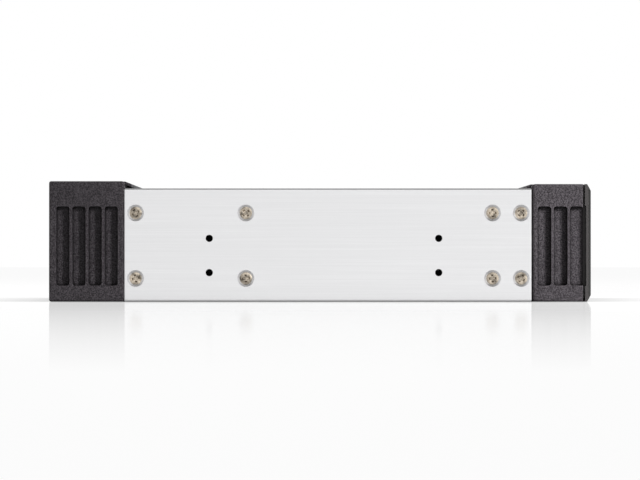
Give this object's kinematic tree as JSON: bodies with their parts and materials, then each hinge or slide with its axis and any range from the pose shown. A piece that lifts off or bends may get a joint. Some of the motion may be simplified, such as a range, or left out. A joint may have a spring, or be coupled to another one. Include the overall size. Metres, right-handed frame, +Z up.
{
  "type": "hot swap drive cage",
  "caption": "Half-height bay cage for one tray-less 3.5 inch drive, with a latched front door, linked ejector, backplane and rear fan.",
  "frame": {"origin": "centre of the footprint, on the plane that the cage stands on", "axes": "+Z up, -Y towards the front door, +Y towards the rear fan, X across the cage"},
  "size_m": [0.146, 0.1872, 0.0416],
  "materials": {
    "side_plate": "brushed along its length, clear",
    "sheet_steel": "zinc-plated sheet",
    "cover_steel": "zinc-plated sheet, satin",
    "block_plastic": "fine-grained black moulding",
    "trim_plastic": "smooth satin black",
    "door_plastic": "fine-grained black moulding",
    "lever_plastic": "satin black",
    "filter_mesh": "moulded nylon dust mesh",
    "rubber": "matt",
    "pin_steel": "ground steel",
    "spring_steel": "spring steel",
    "slide_steel": "zinc-plated strip",
    "button_plastic": "satin dark grey",
    "board": "green solder mask",
    "switch_body": "matt black",
    "light_pipe": "clear moulded acrylic",
    "led": "diffused lens",
    "rail_plastic": "black nylon",
    "connector_plastic": "black connector plastic",
    "contact_metal": "gold flash",
    "header_plastic": "natural nylon",
    "capacitor_can": "aluminium can",
    "fan_plastic": "black fan plastic",
    "motor_copper": "enamelled copper winding",
    "slider_plastic": "white nylon",
    "screw_steel": "nickel-plated"
  },
  "bodies": {
    "cage": {"side_plate_left": "side_plate", "side_plate_right": "side_plate", "bottom_cover": "sheet_steel", "top_cover": "cover_steel", "front_bezel": "block_plastic", "rear_housing": "block_plastic", "front_trim": "trim_plastic", "hinge_pin": "pin_steel", "control_board": "board", "button_switch": "switch_body", "light_pipes": "light_pipe", "status_leds": "led", "guide_rail_left": "rail_plastic", "guide_rail_right": "rail_plastic", "rail_springs_left": "spring_steel", "rail_springs_right": "spring_steel", "backplane": "board", "drive_connector": "connector_plastic", "drive_contacts": "contact_metal", "data_socket": "connector_plastic", "power_socket": "connector_plastic", "power_pins": "contact_metal", "fan_header": "header_plastic", "capacitors": "capacitor_can", "board_chips": "switch_body", "fan_frame": "fan_plastic", "fan_motor": "motor_copper", "speed_switch": "switch_body", "side_screws_left": "screw_steel", "side_screws_right": "screw_steel", "cover_screws": "screw_steel", "fan_screws": "screw_steel", "board_screws": "screw_steel"},
    "door": {"door": "door_plastic", "dust_filter": "filter_mesh", "door_pads": "rubber", "latch_pin": "pin_steel"},
    "latch": {"latch_lever": "lever_plastic", "latch_spring": "spring_steel"},
    "ejector": {"ejector_slide": "slide_steel"},
    "button": {"power_button": "button_plastic"},
    "rotor": {"fan_rotor": "fan_plastic"},
    "selector": {"speed_slider": "slider_plastic"}
  },
  "joints": [
    {"name": "door_hinge", "type": "hinge", "parent": "cage", "child": "door", "pos_m": [-0.0534, -0.0892, 0.0203], "axis": [0, 0, -1], "range_deg": [0, 90]},
    {"name": "latch_turn", "type": "hinge", "parent": "door", "child": "latch", "pos_m": [0.044, -0.0902, 0.0203], "axis": [0, 0, 1], "range_deg": [0, 35], "stiffness_Nm_per_rad": 0.004, "springref_deg": -11.46},
    {"name": "ejector_travel", "type": "slide", "parent": "cage", "child": "ejector", "axis": [0, -1, 0], "range_m": [0, 0.00835]},
    {"name": "button_press", "type": "slide", "parent": "cage", "child": "button", "axis": [0, 1, 0], "range_m": [0, 0.0012], "stiffness_N_per_m": 200, "springref_m": -0.0005},
    {"name": "fan_spin", "type": "hinge", "parent": "cage", "child": "rotor", "pos_m": [-0.028, 0.0864, 0.0208], "axis": [0, 1, 0], "continuous": true},
    {"name": "speed_select", "type": "slide", "parent": "cage", "child": "selector", "axis": [1, 0, 0], "range_m": [-0.002, 0.002]}
  ],
  "couplings": [
    {"joint": "ejector_travel", "follows": "door_hinge", "m_per_rad": 0.0053119}
  ]
}
